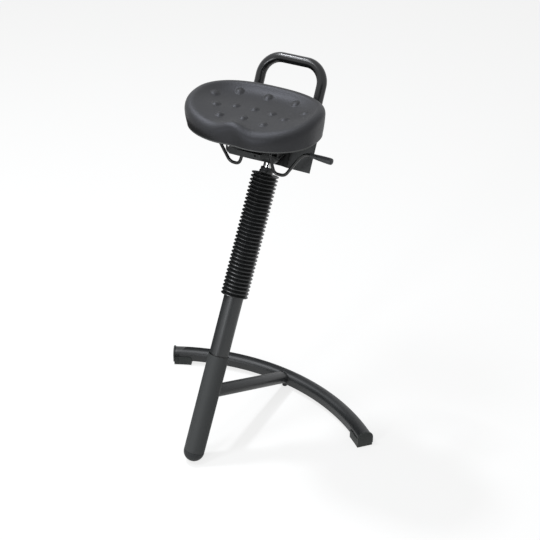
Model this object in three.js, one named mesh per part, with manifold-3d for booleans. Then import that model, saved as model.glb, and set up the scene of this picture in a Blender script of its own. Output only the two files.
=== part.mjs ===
// Perch stool, millimetres, +Z up, the seat's front towards -Y.
// The origin is the middle of the front foot's flat on the floor.
import * as THREE from "three";
import { mergeVertices } from "three/addons/utils/BufferGeometryUtils.js";
import Module from "manifold-3d";

const wasm = await Module();
wasm.setup();

// Angles and counts
const columnLean = THREE.MathUtils.degToRad(24.287);
const seatTurn = THREE.MathUtils.degToRad(7.7);
const handleLean = THREE.MathUtils.degToRad(28);
const arcHalfAngle = THREE.MathUtils.degToRad(34.8);
const roundSides = 28;
const boltSides = 12;
const ribSides = 16;
const ribCount = 33;

// Clearances
const touchGap = 0.3;
const runGap = 0.3;
const cutOverrun = 5;

// Column and foot
const columnRadius = 25;
const columnWall = 2;
const sleeveWall = 1.5;
const sleeveLength = 263.3;
const footFlatDepth = 0.8;
const footPlugLength = 22;
const bellowsFoot = 423.4;
const cuffGrip = 16;

// Bellows
const bellowsLength = 314.8;
const ribEndInset = 0.8;
const bellowsWall = 1.2;
const ribDepth = 7.2;
const bellowsNeckHeight = 9;
const collarRadius = 15.5;
const collarHeight = 17.5;
const collarGrip = 5;

// Gas spring
const liftRadius = 11;
const liftWall = 2;
const liftStroke = 200;
const liftShowing = 12;
const liftGuided = 70;
const bushLength = 90;
const rodRadius = 5;
const pistonHeight = 12;
const valvePinRadius = 3;
const valvePinLength = 26;
const valvePinRise = 9;

// Column foot bearing
const discHeight = 4;
const discBoreGap = 1;
const bearingHeight = 6;
const bearingOuterRadius = 13;
const rodShoulderRadius = 11;
const rodShoulderHeight = 5;
const rodTailLength = 16;
const clipRadius = 8.5;
const clipHeight = 2;
const clipSeat = 1;

// Floor arc
const arcRadius = 570.9;
const arcMiddleY = 407.4;
const arcWidth = 37.7;
const arcSideHeight = 17.7;
const arcCrown = 12.6;
const arcWall = 2.5;
const arcFloorGap = 12.3;
const arcSteps = 32;

// Glides
const glideLength = 53;
const glideWall = 1.8;
const glideSideHeight = 13;
const glideEndThickness = 5;
const glideEndLip = 0.5;
const stopRadius = 7;
const stopFloorGap = 2.5;
const stopInset = 11.4;

// Link tube
const linkRadius = 17.1;
const linkColumnHeight = 174.2;
const linkArcHeight = 25.8;

// Head, placed on the column's axis above the hub's lower rim
const headAboveHub = 80.6;
const hubRadius = 25;
const hubRimRadius = 15;
const hubFlareHeight = 13;
const hubBoreLength = 55;
const trayDrop = 30;
const traySheet = 2.5;
const trayHalfWidth = 88;
const trayFront = 108;
const trayNearEnd = 14;
const trayNearWidth = 52;
const trayNearSlant = 12;
const trayCorner = 12;
const trayWideDepth = 58;
const trayNeckHalfWidth = 33;
const trayRear = 17;
const trayTaperStart = 8;
const trayRearHalfWidth = 16;
const trayLipHeight = 13;
const trayHoleRadius = 3;
const housingSheet = 3;
const housingHalfWidth = 49;
const housingFront = 84;
const housingRear = 34;
const housingCheekHeight = 50;
const housingNeckHalfWidth = 30;

// Tilt pivot
const pivotForward = 62;
const pivotHeight = 12;
const pivotRadius = 6;
const pivotHeadRadius = 9;
const pivotHeadLength = 4;
const stopPadHalfWidth = 12;
const stopPadDepth = 14;

// Levers
const wireRadius = 4;
const shaftSpread = 36;
const shaftDrop = 8;
const leverPlane = 100;
const shaftRear = 4;
const bearingDepth = 12;
const bearingHalfWidth = 7.5;
const bearingCap = 4.5;
const slotHalfWidth = 7;
const leverBend = 11;
const leverSteps = 44;
const leverSides = 7;
const wireDip = 52;
const heightElbowReach = 131.9;
const heightElbowRise = 20;
const heightArmSlope = THREE.MathUtils.degToRad(-3.3);
const heightGripStart = 13;
const heightGripLength = 58;
const heightGripEndRadius = 8;
const tiltElbowReach = 112;
const tiltElbowRise = 13;
const tiltArmSlope = THREE.MathUtils.degToRad(25);
const tiltGripStart = 10;
const tiltGripLength = 28;
const tiltGripEndRadius = 6;
const gripRootRadius = 5.2;
const paddleThickness = 4;
const paddleDepth = 14;
const latchReach = 7;
const latchDepth = 12;

// Seat plate, pan and cushion
const cushionRise = 52;
const panThickness = 5.7;
const panInset = 26;
const plateSheet = 3;
const plateHalfWidth = 100;
const plateFront = 172;
const plateRear = 6;
const cheekGap = 0.8;
const cheekDepth = 34;
const seatHalfWidth = 171;
const seatCentreForward = 111.3;
const seatRearDepth = 114.8;
const seatFrontDepth = 121.3;
const seatSideHeight = 51;
const seatCrest = 63;
const seatCentreHeight = 48;
const seatFrontDrop = 29;
const seatRearRise = 5.5;
const seatBottomInset = 7.2;
const seatCrestInset = 20;
const pommelSetback = 10;
const pommelLift = 0.61;
const pommelHalfWidth = 34;
const studRadius = 10.5;
const studHeight = 3;
const outlineSteps = 56;
const rearRoundness = 2.5;
const frontRoundness = 2.3;

// Rear bracket and handle
const bracketSheet = 3;
const bracketSetback = -4;
const bracketHalfWidth = 113;
const bracketDrop = 82;
const bracketWingInner = 52;
const bracketWebHalfWidth = 17;
const bracketWebDepth = 42;
const bracketWebTop = 4;
const bracketFlangeDepth = 34;
const bracketFlangeInner = 58;
const handleRadius = 12.5;
const handleWall = 2;
const handleLegSpread = 83.5;
const handleTop = 177.5;
const handleBend = 50;
const handleLegDrop = 60;
const handleSteps = 42;
const handleSides = 12;

// Screws
const screwRadius = 3;
const screwHeadRadius = 6;
const screwHeadHeight = 4;
const frontScrewSpread = 70;
const frontScrewInset = 22;
const rearScrewInset = 14;

// Colours and finishes
const finishes = {
  powderCoat: { color: 0x4a4d4e, roughness: 0.5, metalness: 0.3 },
  sleeveCoat: { color: 0x43464a, roughness: 0.5, metalness: 0.3 },
  glossTube: { color: 0x2a2c2d, roughness: 0.2, metalness: 0.5 },
  rubber: { color: 0x1d1f20, roughness: 0.6, metalness: 0 },
  bellows: { color: 0x3a3d3f, roughness: 0.35, metalness: 0 },
  plastic: { color: 0x2b2d2e, roughness: 0.55, metalness: 0 },
  grip: { color: 0x55585b, roughness: 0.5, metalness: 0 },
  chrome: { color: 0xc8cacc, roughness: 0.1, metalness: 1 },
  steel: { color: 0x8f9294, roughness: 0.35, metalness: 0.9 },
  foam: { color: 0x54565a, roughness: 0.75, metalness: 0 },
};

// Frames: the stool's own, the leaning column's and the turned head's
const stool = new THREE.Group();
const column = new THREE.Group();
const head = new THREE.Group();
const rear = new THREE.Group();
stool.add(column, head);
head.add(rear);

const sleeveInner = columnRadius + touchGap;
const sleeveRadius = sleeveInner + sleeveWall;
const footCentreHeight = sleeveRadius - footFlatDepth;
column.position.set(0, 0, footCentreHeight);
column.rotation.x = -columnLean;

const bellowsTop = bellowsFoot + bellowsLength;
const collarTop = bellowsTop + collarHeight;
const hubBottom = collarTop + liftShowing;
const headAlongColumn = hubBottom + headAboveHub;
head.position.set(
  0,
  headAlongColumn * Math.sin(columnLean),
  footCentreHeight + headAlongColumn * Math.cos(columnLean),
);
head.rotation.z = seatTurn;
rear.rotation.x = -handleLean;
stool.updateMatrixWorld(true);

function addPiece(parent, name, geometry, finish) {
  const mesh = new THREE.Mesh(geometry, new THREE.MeshStandardMaterial(finishes[finish]));
  mesh.name = name;
  parent.add(mesh);
  return mesh;
}

// Booleans on closed meshes
function toSolid(geometry) {
  const bare = geometry.clone();
  bare.deleteAttribute("normal");
  bare.deleteAttribute("uv");
  const merged = mergeVertices(bare);
  return new wasm.Manifold(
    new wasm.Mesh({
      numProp: 3,
      vertProperties: new Float32Array(merged.attributes.position.array),
      triVerts: new Uint32Array(merged.index.array),
    }),
  );
}

function toGeometry(solid) {
  const mesh = solid.getMesh();
  const geometry = new THREE.BufferGeometry();
  geometry.setAttribute("position", new THREE.BufferAttribute(mesh.vertProperties, 3));
  geometry.setIndex(new THREE.BufferAttribute(mesh.triVerts, 1));
  geometry.computeVertexNormals();
  return geometry;
}

function cut(body, ...tools) {
  return toGeometry(tools.reduce((rest, tool) => rest.subtract(toSolid(tool)), toSolid(body)));
}

function join(body, ...others) {
  return toGeometry(others.reduce((rest, other) => rest.add(toSolid(other)), toSolid(body)));
}

// The geometry of one group's frame, restated in another's
function restate(geometry, from, to) {
  const change = to.matrixWorld.clone().invert().multiply(from.matrixWorld);
  return geometry.clone().applyMatrix4(change);
}

// A radius whose flat facets still clear a round of the given radius
function facetReach(radius, sides) {
  return radius / Math.cos(Math.PI / sides);
}

// Turned shapes: a profile of [radius, height] pairs about the Z axis
function turned(profile, sides = roundSides) {
  const points = profile.map(([radius, height]) => new THREE.Vector2(radius, height));
  return new THREE.LatheGeometry(points, sides).rotateX(Math.PI / 2);
}

function rod(radius, bottom, top, sides = roundSides) {
  return turned([[0, bottom], [radius, bottom], [radius, top], [0, top]], sides);
}

function pipe(outer, inner, bottom, top, sides = roundSides) {
  return turned([[inner, bottom], [outer, bottom], [outer, top], [inner, top], [inner, bottom]], sides);
}

function block(x0, x1, y0, y1, z0, z1) {
  const box = new THREE.BoxGeometry(x1 - x0, y1 - y0, z1 - z0);
  return box.translate((x0 + x1) / 2, (y0 + y1) / 2, (z0 + z1) / 2);
}

function cross(radius, x0, x1, y, z, sides = boltSides) {
  return rod(radius, x0, x1, sides).rotateY(Math.PI / 2).translate(0, y, z);
}

// A flat outline of [x, y] pairs, raised along Z
function raised(outline, bottom, top) {
  const shape = new THREE.Shape(outline.map(([x, y]) => new THREE.Vector2(x, y)));
  const depth = top - bottom;
  return new THREE.ExtrudeGeometry(shape, { depth, bevelEnabled: false }).translate(0, 0, bottom);
}

// A route of straight runs joined by round bends
function bentRoute(corners, bend) {
  const route = new THREE.CurvePath();
  let from = corners[0];
  for (let i = 1; i < corners.length - 1; i += 1) {
    const into = corners[i - 1].clone().sub(corners[i]);
    const out = corners[i + 1].clone().sub(corners[i]);
    const reach = Math.min(bend, into.length() / 2, out.length() / 2);
    const start = corners[i].clone().addScaledVector(into.normalize(), reach);
    const end = corners[i].clone().addScaledVector(out.normalize(), reach);
    if (from.distanceTo(start) > 0) route.add(new THREE.LineCurve3(from, start));
    route.add(new THREE.QuadraticBezierCurve3(start, corners[i], end));
    from = end;
  }
  route.add(new THREE.LineCurve3(from, corners[corners.length - 1]));
  return route;
}

function roundOutline(radius, sides) {
  return Array.from({ length: sides }, (_, i) => {
    const angle = (i / sides) * Math.PI * 2;
    return new THREE.Vector2(radius * Math.cos(angle), radius * Math.sin(angle));
  });
}

function tubeAlong(route, radius, steps, sides, wall = 0) {
  const section = new THREE.Shape(roundOutline(radius, sides));
  if (wall > 0) section.holes.push(new THREE.Path(roundOutline(radius - wall, sides)));
  return new THREE.ExtrudeGeometry(section, { steps, bevelEnabled: false, extrudePath: route });
}

// Column, foot and gas spring, in the column's frame
const columnInner = columnRadius - columnWall;
const columnTop = bellowsFoot + cuffGrip;
const plugTop = footPlugLength;
const discBottom = plugTop + touchGap;
const discTop = discBottom + discHeight;
const bearingBottom = discTop + touchGap;
const bearingTop = bearingBottom + bearingHeight;
const shoulderBottom = bearingTop + touchGap;

function makeFootCap() {
  const domeSteps = 8;
  const profile = [];
  for (let i = 0; i <= domeSteps; i += 1) {
    const angle = (-Math.PI / 2) * (1 - i / domeSteps);
    profile.push([sleeveRadius * Math.cos(angle), sleeveRadius * Math.sin(angle)]);
  }
  profile[0][0] = 0;
  const plugRadius = columnInner - touchGap;
  profile.push([plugRadius, 0], [plugRadius, plugTop], [0, plugTop]);
  const floor = sleeveRadius + cutOverrun;
  const below = block(-floor, floor, -floor, floor, -floor, 0);
  const tailRoom = rod(clipRadius + touchGap, plugTop - rodTailLength, plugTop + cutOverrun);
  return cut(turned(profile), restate(below, stool, column), tailRoom);
}

addPiece(column, "foot_cap", makeFootCap(), "rubber");
addPiece(
  column,
  "column_sleeve",
  pipe(sleeveRadius, facetReach(sleeveInner, roundSides), touchGap, sleeveLength),
  "sleeveCoat",
);
addPiece(column, "column_tube", pipe(columnRadius, columnInner, touchGap, columnTop), "powderCoat");

const fitInColumn = columnInner * Math.cos(Math.PI / roundSides) - touchGap;
const discBoreRadius = rodRadius + discBoreGap;
addPiece(column, "column_base_disc", pipe(fitInColumn, discBoreRadius, discBottom, discTop), "steel");
addPiece(
  column,
  "thrust_bearing",
  pipe(bearingOuterRadius, discBoreRadius, bearingBottom, bearingTop),
  "steel",
);

const bushBottom = columnTop - bushLength;
const bushFlange = 2;
const liftBore = facetReach(liftRadius + runGap, roundSides);
addPiece(
  column,
  "guide_bush",
  turned([
    [liftBore, bushBottom],
    [fitInColumn, bushBottom],
    [fitInColumn, columnTop + touchGap],
    [columnRadius - touchGap, columnTop + touchGap],
    [columnRadius - touchGap, columnTop + touchGap + bushFlange],
    [liftBore, columnTop + touchGap + bushFlange],
    [liftBore, bushBottom],
  ]),
  "plastic",
);

const liftBottom = columnTop - liftGuided;
const liftInner = liftRadius - liftWall;
const liftTop = hubBottom + hubBoreLength;
const pistonBottom = liftBottom + liftWall + pistonHeight;
const pistonTop = pistonBottom + pistonHeight;
const rodTail = discBottom - touchGap - clipHeight - clipSeat;

addPiece(
  column,
  "piston_rod",
  turned([
    [0, rodTail],
    [rodRadius, rodTail],
    [rodRadius, shoulderBottom],
    [rodShoulderRadius, shoulderBottom],
    [rodShoulderRadius, shoulderBottom + rodShoulderHeight],
    [rodRadius, shoulderBottom + rodShoulderHeight],
    [rodRadius, pistonBottom],
    [liftInner - runGap, pistonBottom],
    [liftInner - runGap, pistonTop],
    [0, pistonTop],
  ]),
  "steel",
);
addPiece(
  column,
  "retaining_clip",
  pipe(
    clipRadius,
    facetReach(rodRadius + touchGap, roundSides),
    discBottom - touchGap - clipHeight,
    discBottom - touchGap,
  ),
  "steel",
);

const rodBore = facetReach(rodRadius + runGap, roundSides);
const chamberTop = pistonTop + liftStroke + pistonHeight;
const pinBore = facetReach(valvePinRadius + runGap, roundSides);
addPiece(
  column,
  "lift_cylinder",
  turned([
    [rodBore, liftBottom],
    [liftRadius, liftBottom],
    [liftRadius, liftTop],
    [pinBore, liftTop],
    [pinBore, chamberTop],
    [liftInner, chamberTop],
    [liftInner, liftBottom + liftWall],
    [rodBore, liftBottom + liftWall],
    [rodBore, liftBottom],
  ]),
  "chrome",
);
addPiece(
  column,
  "valve_pin",
  rod(valvePinRadius, liftTop + valvePinRise - valvePinLength, liftTop + valvePinRise, boltSides),
  "steel",
);

// Bellows: a zigzag of ribs over a plain bore that has a ring every few ribs
function makeBellows() {
  const bore = facetReach(facetReach(columnRadius + touchGap, ribSides), ribSides);
  const root = bore + bellowsWall;
  const tip = root + ribDepth;
  const neckBore = facetReach(collarRadius + touchGap, ribSides);
  const neckRadius = neckBore + bellowsWall;
  const lowestTip = bellowsFoot + ribEndInset;
  const pitch = (bellowsLength - ribEndInset * 2) / (ribCount - 1);
  const profile = [[bore, bellowsFoot], [root, bellowsFoot]];
  for (let i = 0; i < ribCount; i += 1) {
    profile.push([tip, lowestTip + i * pitch]);
    if (i < ribCount - 1) profile.push([root, lowestTip + (i + 1 / 2) * pitch]);
  }
  profile.push([neckRadius, bellowsTop]);
  profile.push([neckRadius, bellowsTop + bellowsNeckHeight]);
  profile.push([neckBore, bellowsTop + bellowsNeckHeight]);
  profile.push([neckBore, bellowsTop - collarGrip]);
  profile.push([bore, bellowsTop - pitch - collarGrip]);
  const ringEvery = 5;
  for (let i = ribCount - ringEvery; i > 0; i -= ringEvery) {
    profile.push([bore, lowestTip + (i - 1 / 2) * pitch]);
  }
  profile.push([bore, bellowsFoot]);
  return turned(profile, ribSides);
}

addPiece(column, "bellows", makeBellows(), "bellows");
addPiece(
  column,
  "bellows_collar",
  pipe(collarRadius, facetReach(liftRadius + touchGap, roundSides), bellowsTop - collarGrip, collarTop),
  "plastic",
);

// Floor arc, its end shoes and its stop, in the stool's frame
class FloorArc extends THREE.Curve {
  constructor(fromAngle, toAngle) {
    super();
    this.fromAngle = fromAngle;
    this.toAngle = toAngle;
  }

  getPoint(t, target = new THREE.Vector3()) {
    const angle = this.fromAngle + (this.toAngle - this.fromAngle) * t;
    const y = arcMiddleY - arcRadius + arcRadius * Math.cos(angle);
    return target.set(arcRadius * Math.sin(angle), y, 0);
  }
}

// A section of [side, height] pairs carried along a stretch of the arc
function alongArc(section, fromAngle, toAngle, steps) {
  const shape = new THREE.Shape(section.map(([side, height]) => new THREE.Vector2(-height, side)));
  const extrudePath = new FloorArc(fromAngle, toAngle);
  return new THREE.ExtrudeGeometry(shape, { steps, bevelEnabled: false, extrudePath });
}

// The tube's section, grown outwards or shrunk by an offset
function archedSection(offset) {
  const half = arcWidth / 2 + offset;
  const shoulder = arcFloorGap + arcSideHeight;
  const crown = arcCrown + offset;
  const archSteps = 8;
  const section = [[-half, arcFloorGap - offset], [half, arcFloorGap - offset]];
  for (let i = 0; i <= archSteps; i += 1) {
    const angle = (i / archSteps) * Math.PI;
    section.push([half * Math.cos(angle), shoulder + crown * Math.sin(angle)]);
  }
  return section;
}

const overrunAngle = cutOverrun / arcRadius;
const glideAngle = glideLength / arcRadius;
const glideEndAngle = glideEndThickness / arcRadius;
const tubeEndAngle = arcHalfAngle - glideEndAngle - touchGap / arcRadius;

addPiece(
  stool,
  "base_arc",
  cut(
    alongArc(archedSection(0), -tubeEndAngle, tubeEndAngle, arcSteps),
    alongArc(archedSection(-arcWall), -tubeEndAngle - overrunAngle, tubeEndAngle + overrunAngle, arcSteps),
  ),
  "powderCoat",
);

function makeGlide(side) {
  const outer = arcWidth / 2 + touchGap + glideWall;
  const sideTop = arcFloorGap + glideSideHeight;
  const steps = 5;
  const span = (near, far) => (side > 0 ? [near, far] : [-far, -near]);
  const seatSection = [[-outer, 0], [outer, 0], [outer, sideTop], [-outer, sideTop]];
  const shoe = alongArc(
    seatSection,
    ...span(arcHalfAngle - glideAngle, arcHalfAngle - glideEndAngle / 2),
    steps,
  );
  const endPlate = alongArc(
    archedSection(touchGap + glideWall + glideEndLip),
    ...span(arcHalfAngle - glideEndAngle, arcHalfAngle),
    1,
  );
  const tubeRoom = alongArc(
    archedSection(touchGap),
    ...span(arcHalfAngle - glideAngle - overrunAngle, arcHalfAngle - glideEndAngle),
    steps,
  );
  return cut(join(shoe, endPlate), tubeRoom);
}

addPiece(stool, "glide_left", makeGlide(-1), "plastic");
addPiece(stool, "glide_right", makeGlide(1), "plastic");

const stopTop = arcFloorGap - touchGap;
const centreStop = rod(stopRadius, stopFloorGap, stopTop, boltSides);
addPiece(stool, "centre_stop", centreStop.translate(0, arcMiddleY - stopInset, 0), "rubber");

// Link tube, coped round the sleeve and against the arc
function makeLinkTube() {
  const columnY = (linkColumnHeight - footCentreHeight) * Math.tan(columnLean);
  const start = new THREE.Vector3(0, columnY, linkColumnHeight);
  const end = new THREE.Vector3(0, arcMiddleY, linkArcHeight);
  const length = start.distanceTo(end);
  const slope = Math.atan2(start.z - end.z, end.y - start.y);
  const place = (geometry) =>
    geometry.rotateX(-Math.PI / 2 - slope).translate(start.x, start.y, start.z);
  const tube = place(rod(linkRadius, 0, length));
  const sleeveRoom = rod(sleeveRadius + touchGap, -cutOverrun, sleeveLength + cutOverrun);
  const innerFace = arcWidth / 2 + touchGap;
  const beyond = [
    [-innerFace, -arcWidth],
    [arcWidth * 2, -arcWidth],
    [arcWidth * 2, arcWidth * 2],
    [-innerFace, arcWidth * 2],
  ];
  const arcRoom = alongArc(beyond, -arcHalfAngle / 2, arcHalfAngle / 2, arcSteps / 2);
  const bore = place(rod(linkRadius - columnWall, -cutOverrun, length + cutOverrun));
  return cut(tube, restate(sleeveRoom, column, stool), arcRoom, bore);
}

addPiece(stool, "link_tube", makeLinkTube(), "powderCoat");

// Hub, tray and housing, in the head's frame
const trayTop = -trayDrop + traySheet;
const trayBack = -trayFront + trayWideDepth;
const housingBottom = trayTop + touchGap;
const housingFloor = housingBottom + housingSheet;
const shaftRoom = wireRadius + runGap;
const liftRoom = rod(liftRadius + touchGap, hubBottom - cutOverrun, liftTop + cutOverrun);

function makeHub() {
  const bore = facetReach(liftRadius + touchGap, roundSides);
  const top = headAlongColumn + cutOverrun;
  const hub = turned(
    [
      [bore, hubBottom],
      [hubRimRadius, hubBottom],
      [hubRadius, hubBottom + hubFlareHeight],
      [hubRadius, top],
      [bore, top],
      [bore, hubBottom],
    ],
    roundSides,
  );
  const reach = hubRadius * 4;
  const above = block(-reach, reach, -reach, reach, -trayDrop - touchGap, reach * 2);
  return cut(hub, restate(above, head, column));
}

addPiece(column, "taper_hub", makeHub(), "powderCoat");

function leverSlot(side) {
  const x = side * (shaftSpread + slotHalfWidth / 2);
  return block(
    x - slotHalfWidth,
    x + slotHalfWidth,
    -leverPlane - shaftRoom,
    -leverPlane + shaftRoom,
    -trayDrop - cutOverrun,
    trayTop + cutOverrun,
  );
}

function makeTray() {
  const outline = [
    [-trayHalfWidth, -trayFront + trayCorner],
    [-trayHalfWidth + trayCorner, -trayFront],
    [trayNearEnd, -trayFront],
    [trayNearEnd + trayNearSlant, -housingFront],
    [trayNearWidth, -housingFront],
    [trayNearWidth, trayBack],
    [trayNeckHalfWidth, trayBack],
    [trayNeckHalfWidth, -trayTaperStart],
    [trayRearHalfWidth, trayRear],
    [-trayRearHalfWidth, trayRear],
    [-trayNeckHalfWidth, -trayTaperStart],
    [-trayNeckHalfWidth, trayBack],
    [-trayHalfWidth, trayBack],
  ];
  const floor = raised(outline, -trayDrop, trayTop);
  const lipOutline = [
    [-trayHalfWidth, -trayFront + trayCorner],
    [-trayHalfWidth + trayCorner, -trayFront],
    [trayNearEnd, -trayFront],
    [trayNearEnd + trayNearSlant, -housingFront],
    [trayNearEnd + trayNearSlant - traySheet, -housingFront],
    [trayNearEnd - traySheet, -trayFront + traySheet],
    [-trayHalfWidth + trayCorner + traySheet / 2, -trayFront + traySheet],
    [-trayHalfWidth + traySheet, -trayFront + trayCorner + traySheet / 2],
  ];
  const lip = raised(lipOutline, -trayDrop, -trayDrop + trayLipHeight);
  const lipHole = rod(trayHoleRadius, -cutOverrun, cutOverrun, boltSides)
    .rotateX(Math.PI / 2)
    .translate(0, -trayFront, trayTop + (trayLipHeight - traySheet) / 2);
  const room = restate(liftRoom, column, head);
  return cut(join(floor, lip), lipHole, leverSlot(-1), leverSlot(1), room);
}

addPiece(head, "carrier_tray", makeTray(), "powderCoat");

function makeHousing() {
  const outline = [
    [-housingHalfWidth, -housingFront],
    [housingHalfWidth, -housingFront],
    [housingHalfWidth, trayBack],
    [housingNeckHalfWidth, trayBack],
    [housingNeckHalfWidth, -trayTaperStart],
    [trayRearHalfWidth, trayRear],
    [-trayRearHalfWidth, trayRear],
    [-housingNeckHalfWidth, -trayTaperStart],
    [-housingNeckHalfWidth, trayBack],
    [-housingHalfWidth, trayBack],
  ];
  const floor = raised(outline, housingBottom, housingFloor);
  const cheekTop = housingBottom + housingCheekHeight;
  const inner = housingHalfWidth - housingSheet;
  const left = block(-housingHalfWidth, -inner, -housingFront, -housingRear, housingBottom, cheekTop);
  const right = block(inner, housingHalfWidth, -housingFront, -housingRear, housingBottom, cheekTop);
  const reach = housingHalfWidth + cutOverrun;
  const pinRoom = cross(
    facetReach(pivotRadius + runGap, boltSides),
    -reach,
    reach,
    -pivotForward,
    pivotHeight,
  );
  const room = restate(liftRoom, column, head);
  return cut(join(floor, left, right), pinRoom, room);
}

addPiece(head, "mechanism_housing", makeHousing(), "steel");

// Levers: a shaft along Y in its bearing, then a bent wire that dips, rises to an elbow and
// runs out along a sloping arm to the grip. The dip's corners are shares of the run from shaft
// to elbow and of the dip's depth. The tilt lever is the shorter one, tucked under the seat.
const leverForms = {
  height: {
    side: 1,
    elbowReach: heightElbowReach,
    elbowRise: heightElbowRise,
    armSlope: heightArmSlope,
    gripStart: heightGripStart,
    gripLength: heightGripLength,
    gripEndRadius: heightGripEndRadius,
    dipShares: [[0, 0], [0.073, 0.67], [0.136, 1], [0.427, 1], [0.796, 0]],
  },
  tilt: {
    side: -1,
    elbowReach: tiltElbowReach,
    elbowRise: tiltElbowRise,
    armSlope: tiltArmSlope,
    gripStart: tiltGripStart,
    gripLength: tiltGripLength,
    gripEndRadius: tiltGripEndRadius,
    dipShares: [[0, 0], [0.092, 0.67], [0.184, 0.96], [0.5, 0.96]],
  },
};

function leverElbow({ side, elbowReach, elbowRise }) {
  return new THREE.Vector3(side * elbowReach, -leverPlane, elbowRise - shaftDrop);
}

function leverArm({ side, armSlope }) {
  return new THREE.Vector3(side * Math.cos(armSlope), 0, Math.sin(armSlope));
}

function leverRoute(form) {
  const { side, elbowReach, gripStart, gripLength, dipShares } = form;
  const corners = [new THREE.Vector3(side * shaftSpread, -shaftRear, -shaftDrop)];
  for (const [along, dip] of dipShares) {
    const x = side * (shaftSpread + along * (elbowReach - shaftSpread));
    corners.push(new THREE.Vector3(x, -leverPlane, -shaftDrop - dip * wireDip));
  }
  const elbow = leverElbow(form);
  corners.push(elbow);
  corners.push(elbow.clone().addScaledVector(leverArm(form), gripStart + gripLength / 2));
  return bentRoute(corners, leverBend);
}

function makeGrip(form) {
  const { gripStart, gripLength, gripEndRadius } = form;
  const socket = facetReach(wireRadius + touchGap, boltSides);
  const round = gripEndRadius / 2;
  const grip = turned(
    [
      [socket, 0],
      [gripRootRadius, 0],
      [gripRootRadius, gripRootRadius],
      [gripEndRadius, gripLength - gripEndRadius],
      [gripEndRadius - round / 2, gripLength - round / 2],
      [round, gripLength],
      [0, gripLength],
      [0, gripLength / 2 + touchGap],
      [socket, gripLength / 2 + touchGap],
      [socket, 0],
    ],
    boltSides,
  );
  const arm = leverArm(form);
  const root = leverElbow(form).addScaledVector(arm, gripStart);
  const turn = new THREE.Quaternion().setFromUnitVectors(new THREE.Vector3(0, 0, 1), arm);
  return grip.applyQuaternion(turn).translate(root.x, root.y, root.z);
}

function makeLeverBearing({ side }) {
  const x = side * shaftSpread;
  const body = block(
    x - bearingHalfWidth,
    x + bearingHalfWidth,
    -housingFront + bearingDepth / 2,
    -housingFront + bearingDepth * 3 / 2,
    housingFloor + touchGap,
    -shaftDrop + shaftRoom + bearingCap,
  );
  const bore = rod(facetReach(shaftRoom, boltSides), 0, leverPlane, boltSides)
    .rotateX(Math.PI / 2)
    .translate(x, 0, -shaftDrop);
  return cut(body, bore);
}

for (const [name, form] of Object.entries(leverForms)) {
  const wire = tubeAlong(leverRoute(form), wireRadius, leverSteps, leverSides);
  addPiece(head, `${name}_lever`, wire, "glossTube");
  addPiece(head, `${name}_grip`, makeGrip(form), "grip");
  addPiece(head, `${name}_lever_bearing`, makeLeverBearing(form), "plastic");
}

// The paddle hangs under the height lever's shaft and reaches over the valve pin
const pinTop = new THREE.Vector3(0, 0, liftTop + valvePinRise).applyMatrix4(column.matrixWorld);
head.worldToLocal(pinTop);
const paddleBottom = pinTop.z + valvePinRadius * Math.sin(columnLean) + touchGap;
const paddle = block(
  pinTop.x - paddleDepth / 2,
  shaftSpread + bearingHalfWidth,
  pinTop.y - paddleDepth,
  pinTop.y + valvePinRadius + runGap,
  paddleBottom,
  paddleBottom + paddleThickness,
);
const shaftClear = rod(facetReach(shaftRoom, boltSides), 0, leverPlane, boltSides)
  .rotateX(Math.PI / 2)
  .translate(shaftSpread, 0, -shaftDrop);
addPiece(head, "valve_paddle", cut(paddle, shaftClear), "steel");

const latchOuter = housingHalfWidth - housingSheet - runGap - cheekGap;
const latch = block(
  -latchOuter,
  -shaftSpread + wireRadius,
  -housingRear - latchDepth,
  -housingRear,
  -shaftDrop - latchReach,
  -shaftDrop + latchReach,
);
const latchBore = rod(facetReach(wireRadius + touchGap, boltSides), 0, leverPlane, boltSides)
  .rotateX(Math.PI / 2)
  .translate(-shaftSpread, 0, -shaftDrop);
addPiece(head, "tilt_latch", cut(latch, latchBore), "steel");

// Seat plate with its cheeks outside the housing's, and the pivot pin through all four
const plateTop = cushionRise - touchGap - panThickness - touchGap;
const plateBottom = plateTop - plateSheet;
const cheekInner = housingHalfWidth + cheekGap;
const cheekOuter = cheekInner + plateSheet;

const rearScrewSpread = (bracketFlangeInner + bracketHalfWidth) / 2;
const screwPlaces = [
  [-frontScrewSpread, -plateFront + frontScrewInset],
  [frontScrewSpread, -plateFront + frontScrewInset],
  [-rearScrewSpread, -plateRear - rearScrewInset],
  [rearScrewSpread, -plateRear - rearScrewInset],
];

function screwRooms(bottom, top) {
  const room = facetReach(screwRadius + touchGap, boltSides);
  return screwPlaces.map(([x, y]) => rod(room, bottom, top, boltSides).translate(x, y, 0));
}

function makeSeatPlate() {
  const plate = block(-plateHalfWidth, plateHalfWidth, -plateFront, -plateRear, plateBottom, plateTop);
  const cheekFront = -pivotForward - cheekDepth / 2;
  const cheekBack = -pivotForward + cheekDepth / 2;
  const cheekBottom = pivotHeight - cheekDepth / 2;
  const left = block(-cheekOuter, -cheekInner, cheekFront, cheekBack, cheekBottom, plateTop);
  const right = block(cheekInner, cheekOuter, cheekFront, cheekBack, cheekBottom, plateTop);
  const reach = cheekOuter + cutOverrun;
  const bore = facetReach(pivotRadius + touchGap, boltSides);
  const pinRoom = cross(bore, -reach, reach, -pivotForward, pivotHeight);
  const rooms = screwRooms(plateBottom - cutOverrun, plateTop + cutOverrun);
  return cut(join(plate, left, right), pinRoom, ...rooms);
}

addPiece(head, "seat_plate", makeSeatPlate(), "steel");

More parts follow.
